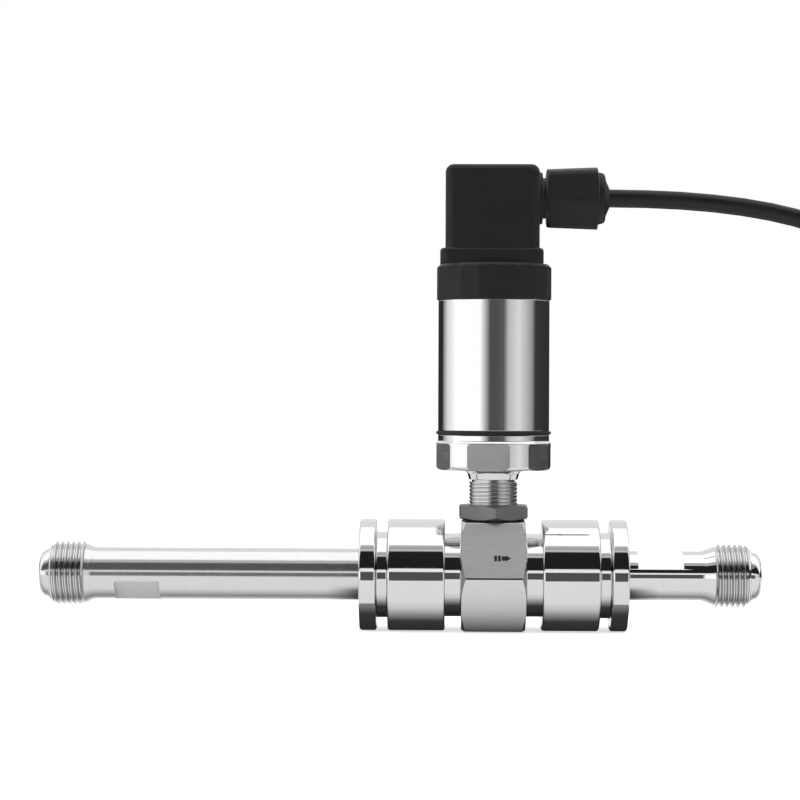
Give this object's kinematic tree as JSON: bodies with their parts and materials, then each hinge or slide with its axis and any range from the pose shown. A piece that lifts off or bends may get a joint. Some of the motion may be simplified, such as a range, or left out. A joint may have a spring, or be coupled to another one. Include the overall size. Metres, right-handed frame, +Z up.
{
  "type": "turbine flow meter",
  "caption": "Inline turbine flow meter: threaded pipe with hexagon body, upright pickup head with lock nut, right-angle connector plug and cable.",
  "frame": {"origin": "on the pipe axis at the outer end of the inlet thread", "axes": "+X along the pipe with the flow, +Z up along the head, the cable leaves the plug towards +X"},
  "size_m": [0.3926, 0.0563, 0.154],
  "materials": {
    "polished_steel": "turned and polished stainless steel",
    "brushed_steel": "fine brushed stainless steel",
    "satin_steel": "satin stainless steel",
    "rotor_steel": "ground magnetic stainless steel",
    "bearing_carbide": "ground tungsten carbide",
    "black_rubber": "moulded nitrile rubber",
    "black_nylon": "moulded glass-filled nylon",
    "copper_wire": "enamelled copper winding",
    "tinned_brass": "tinned brass",
    "board_laminate": "green solder mask on glass laminate",
    "wire_insulation": "coloured wire insulation",
    "cable_sheath": "black PVC sheath"
  },
  "bodies": {
    "meter": {"meter_body": "brushed_steel", "inlet_coupling": "polished_steel", "outlet_coupling": "polished_steel", "inlet_pipe": "polished_steel", "outlet_pipe": "polished_steel", "inlet_o_ring": "black_rubber", "outlet_o_ring": "black_rubber", "front_hanger": "satin_steel", "rear_hanger": "satin_steel", "front_bush": "bearing_carbide", "rear_bush": "bearing_carbide", "front_circlip": "satin_steel", "rear_circlip": "satin_steel", "pickup_seal": "black_rubber"},
    "rotor": {"rotor": "rotor_steel", "rotor_shaft": "bearing_carbide"},
    "lock_nut": {"lock_nut": "satin_steel"},
    "head": {"pickup_barrel": "brushed_steel", "pole_piece": "rotor_steel", "pickup_magnet": "bearing_carbide", "coil_bobbin": "black_nylon", "coil_winding": "copper_wire", "pickup_leads": "wire_insulation", "housing_base": "brushed_steel", "housing_o_ring": "black_rubber", "housing_sleeve": "brushed_steel", "preamp_board": "board_laminate", "board_components": "black_nylon", "board_standoffs": "satin_steel", "board_screws": "satin_steel", "connector_leads": "wire_insulation", "connector_collar": "black_nylon", "connector_insert": "black_nylon", "contact_pins": "tinned_brass"},
    "plug": {"profile_gasket": "black_rubber", "plug_housing": "black_nylon", "terminal_block": "black_nylon", "terminal_contacts": "tinned_brass", "clamp_screws": "satin_steel", "plug_cores": "wire_insulation", "gland_washer": "tinned_brass", "gland_seal": "black_rubber", "cable_in_gland": "cable_sheath", "cable_run": "cable_sheath", "cable_hank": "cable_sheath", "hank_tie": "black_nylon", "cable_tail": "cable_sheath", "core_ends": "wire_insulation"},
    "plug_screw": {"plug_screw": "satin_steel"},
    "gland_nut": {"gland_nut": "black_nylon"}
  },
  "joints": [
    {"name": "rotor_spin", "type": "hinge", "parent": "meter", "child": "rotor", "pos_m": [0.1473, 0, 0], "axis": [1, 0, 0], "continuous": true},
    {"name": "head_turn", "type": "hinge", "parent": "meter", "child": "head", "pos_m": [0.1473, 0, 0], "axis": [0, 0, 1], "range_deg": [-140, 140]},
    {"name": "lock_nut_turn", "type": "hinge", "parent": "head", "child": "lock_nut", "pos_m": [0.1473, 0, 0.021], "axis": [0, 0, 1], "range_deg": [0, 360]},
    {"name": "plug_lift", "type": "slide", "parent": "head", "child": "plug", "axis": [0, 0, 1], "range_m": [0, 0.012]},
    {"name": "plug_screw_turn", "type": "hinge", "parent": "plug", "child": "plug_screw", "pos_m": [0.1473, 0, 0.13], "axis": [0, 0, 1], "range_deg": [0, 360]},
    {"name": "gland_nut_turn", "type": "hinge", "parent": "plug", "child": "gland_nut", "pos_m": [0.1733, 0, 0.1253], "axis": [1, 0, 0], "range_deg": [0, 360]}
  ]
}
